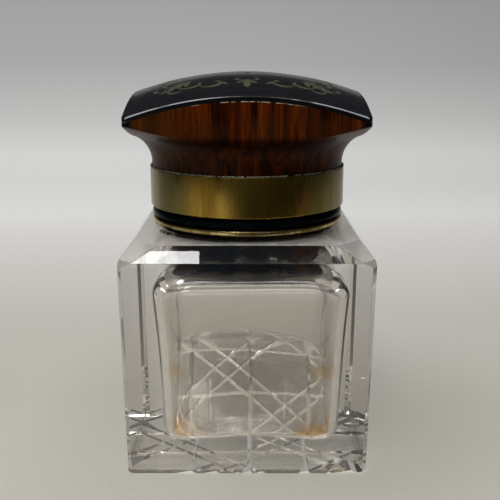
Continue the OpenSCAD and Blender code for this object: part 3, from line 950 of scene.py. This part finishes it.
def crumb_tree():
    """Geometry Nodes that strew small crumbs in patches along a path."""
    tree = bpy.data.node_groups.new("crumbs", "GeometryNodeTree")
    tree.interface.new_socket("Geometry", in_out="OUTPUT", socket_type="NodeSocketGeometry")
    tree.interface.new_socket("Path", in_out="INPUT", socket_type="NodeSocketGeometry")
    for name, kind in (("Count", "Int"), ("Crumb size", "Float"), ("Stray", "Float"), ("Patchiness", "Float"),
                       ("Finish", "Material")):
        tree.interface.new_socket(name, in_out="INPUT", socket_type="NodeSocket" + kind)

    def node(kind, inputs=(), **settings):
        made = tree.nodes.new(kind)
        for key, value in settings.items():
            setattr(made, key, value)
        for key, value in dict(inputs).items():
            made.inputs[key].default_value = value
        return made

    def chance(**inputs):
        return node("FunctionNodeRandomValue", inputs, data_type="FLOAT_VECTOR")

    given, result = node("NodeGroupInput"), node("NodeGroupOutput")
    path = node("GeometryNodeMeshToCurve")
    spaced = node("GeometryNodeResampleCurve")
    points = node("GeometryNodeCurveToPoints", mode="EVALUATED")
    rise = node("ShaderNodeMath", {1: 0.3}, operation="MULTIPLY")
    spread = node("ShaderNodeCombineXYZ")
    back = node("ShaderNodeVectorMath", {"Scale": -1}, operation="SCALE")
    stray = chance(Seed=3)
    moved = node("GeometryNodeSetPosition")
    cloud = node("ShaderNodeTexNoise", {"Scale": 260, "Detail": 5})
    kept = node("FunctionNodeCompare", data_type="FLOAT", operation="GREATER_THAN")
    crumb = node("GeometryNodeMeshIcoSphere", {"Subdivisions": 1})
    turn = chance(Max=(TAU, TAU, TAU), Seed=5)
    size = chance(Min=(0.3, 0.3, 0.2), Max=(1.3, 1.0, 0.8), Seed=11)
    strewn = node("GeometryNodeInstanceOnPoints")
    real = node("GeometryNodeRealizeInstances")
    finish = node("GeometryNodeSetMaterial")
    for source, out, target, into in (
            (given, "Path", path, "Mesh"), (path, "Curve", spaced, "Curve"),
            (given, "Count", spaced, "Count"), (spaced, "Curve", points, "Curve"),
            (given, "Stray", rise, 0), (given, "Stray", spread, "X"), (given, "Stray", spread, "Y"),
            (rise, 0, spread, "Z"), (spread, 0, back, 0), (back, 0, stray, "Min"), (spread, 0, stray, "Max"),
            (points, "Points", moved, "Geometry"), (stray, "Value", moved, "Offset"),
            (cloud, "Fac", kept, "A"), (given, "Patchiness", kept, "B"),
            (given, "Crumb size", crumb, "Radius"),
            (moved, "Geometry", strewn, "Points"), (kept, "Result", strewn, "Selection"),
            (crumb, "Mesh", strewn, "Instance"), (turn, "Value", strewn, "Rotation"),
            (size, "Value", strewn, "Scale"), (strewn, 0, real, 0), (real, 0, finish, "Geometry"),
            (given, "Finish", finish, "Material"), (finish, 0, result, 0)):
        tree.links.new(source.outputs[out], target.inputs[into])
    return tree


def strew_crumbs(name, path, tree, body, slot, **values):
    """Crumbs along a closed path of points, riding on a body. Inputs are named with _ for a space."""
    count = len(path)
    mesh = bpy.data.meshes.new(name)
    mesh.from_pydata(path, [(i, (i + 1) % count) for i in range(count)], [])
    piece = in_scene(name, mesh)
    strew = piece.modifiers.new("crumbs", "NODES")
    strew.node_group = tree
    for item in tree.interface.items_tree:
        key = item.name.replace(" ", "_")
        if item.in_out == "INPUT" and key in values:
            strew[item.identifier] = values[key]
    apply_modifiers(piece)
    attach(piece, body)


def ring_path(radius, z, angles):
    """Points on a level circle, at the given angles in degrees."""
    turns = [math.radians(angle) for angle in angles]
    return [(radius * math.cos(turn), radius * math.sin(turn), z) for turn in turns]


def joint_crumbs():
    """Crust on the band's edge, crumbs round the cement, and loose ones on the table at the front left."""
    tree = crumb_tree()
    crust, cement = pale_crust(), bedding_cement()
    round_about = [1.5 * i for i in range(240)]
    there_and_back = list(range(208, 259)) + list(range(259, 208, -1))
    strew_crumbs("crust_on_band", ring_path(CRUST_R, band_high.z + 0.10 * MM, round_about), tree, "lid",
                 "cement", Count=2200, Crumb_size=0.21 * MM, Stray=0.20 * MM, Patchiness=0.40, Finish=crust)
    strew_crumbs("cement_crumbs", ring_path(CEMENT_R + 0.1 * MM, TABLE_Z + 0.22 * MM, round_about), tree,
                 "well", "cement", Count=1100, Crumb_size=0.24 * MM, Stray=0.20 * MM, Patchiness=0.52,
                 Finish=cement)
    strew_crumbs("loose_cement", ring_path(LOOSE_R, TABLE_Z + 0.08 * MM, there_and_back), tree, "well",
                 "cement", Count=560, Crumb_size=0.16 * MM, Stray=0.75 * MM, Patchiness=0.40, Finish=cement)


# ---- Stage ----

def stage_set():
    """Floor that curves up into a backdrop, for the light and the reflections only."""
    front, back, rise, bend = -0.55, 0.42, 0.26, 0.22
    profile = [(front, 0.0), (back, 0.0)]
    profile += [(back + bend * math.sin(a), bend * (1 - math.cos(a)))
                for a in (TAU / 4 * i / 16 for i in range(1, 17))]
    profile += [(back + bend, rise)]
    width = 1.2
    verts = [(x, y, z) for x in (-width, width) for y, z in profile]
    count = len(profile)
    faces = [(j, j + count, j + count + 1, j + 1) for j in range(count - 1)]
    floor = new_piece("floor", verts, faces, [pale_paper()])
    smooth_but_for(floor, 60)


def panel_light(name, place, aim, size, power, mirrored=True):
    """Rectangular soft light that looks from its place at an aim."""
    data = bpy.data.lights.new(name, "AREA")
    data.shape = "RECTANGLE"
    data.size, data.size_y = size
    data.energy = power
    lamp = in_scene(name, data)
    lamp.location = place
    lamp.rotation_euler = (Vector(aim) - Vector(place)).to_track_quat("-Z", "Y").to_euler()
    lamp.visible_glossy = mirrored


def room_light():
    """Dim cool surroundings, which the camera sees, and glass lets through, as a pale warm room."""
    world = bpy.data.worlds.new("room")
    world.use_nodes = True
    tree = world.node_tree
    surroundings = tree.nodes["Background"]
    room = tree.nodes.new("ShaderNodeBackground")
    for shade, colour, strength in ((surroundings, (0.85, 0.92, 1.0), 0.03), (room, (1.0, 0.95, 0.87), 0.50)):
        shade.inputs["Color"].default_value = (*colour, 1)
        shade.inputs["Strength"].default_value = strength
    ray = tree.nodes.new("ShaderNodeLightPath")
    seen = tree.nodes.new("ShaderNodeMath")
    seen.operation = "MAXIMUM"
    join = tree.nodes.new("ShaderNodeMixShader")
    tree.links.new(ray.outputs["Is Camera Ray"], seen.inputs[0])
    tree.links.new(ray.outputs["Is Transmission Ray"], seen.inputs[1])
    for source, socket in zip((seen, surroundings, room), join.inputs):
        tree.links.new(source.outputs[0], socket)
    tree.links.new(join.outputs[0], tree.nodes["World Output"].inputs["Surface"])
    bpy.context.scene.world = world


def light_rig():
    """A small window for the highlight, a broad soft light that nothing mirrors, and a low strip in front."""
    panel_light("window", (-0.108, -0.418, 0.74), (-0.108, -0.418, 0), (0.10, 0.16), 0.75)
    panel_light("soft_top", (-0.16, -0.05, 1.10), (-0.16, -0.05, 0), (1.1, 1.1), 21.0, mirrored=False)
    panel_light("front_strip", (0.0, -0.70, 0.44), (0, 0, 0.06), (0.70, 0.04), 0.35)
    room_light()


def camera():
    """View from a little above the lid: 55 mm on a 36 mm square, 200 mm in front."""
    data = bpy.data.cameras.new("view")
    data.lens = 55.264
    data.sensor_width = 36
    data.shift_x = 0.006
    data.clip_start = 0.01
    eye = in_scene("view", data)
    eye.location = (0, -0.1995, 0.0988)
    eye.rotation_euler = (math.radians(90 - 13.91), 0, 0)
    bpy.context.scene.camera = eye


def dress_cad():
    """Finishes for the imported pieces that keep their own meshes."""
    hinge = aged_brass("hinge_brass", (0.48, 0.36, 0.13), (0.22, 0.15, 0.05), 0.30)
    liner = aged_brass("liner_brass", (0.55, 0.43, 0.18), (0.28, 0.19, 0.07), 0.30)
    inlay = engraved_brass()
    finishes = {"collar_hinge_block": hinge, "lid_hinge_block": hinge, "hinge_pin": hinge,
                "lid_liner": liner, "liner_pins": liner, "inlay_corner_sprays": inlay,
                "inlay_side_scrolls": inlay, "inlay_palmettes": inlay, "inlay_rosette": inlay}
    for name, finish in finishes.items():
        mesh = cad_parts[name].data
        mesh.materials.clear()
        mesh.materials.append(finish)


camera()
stage_set()
light_rig()
glass_well()
neck_cement()
neck_collar()
bead_ring()
lid_band()
lid_block()
lid_veneer()
joint_crumbs()
dress_cad()

bpy.context.scene.view_settings.view_transform = "Standard"
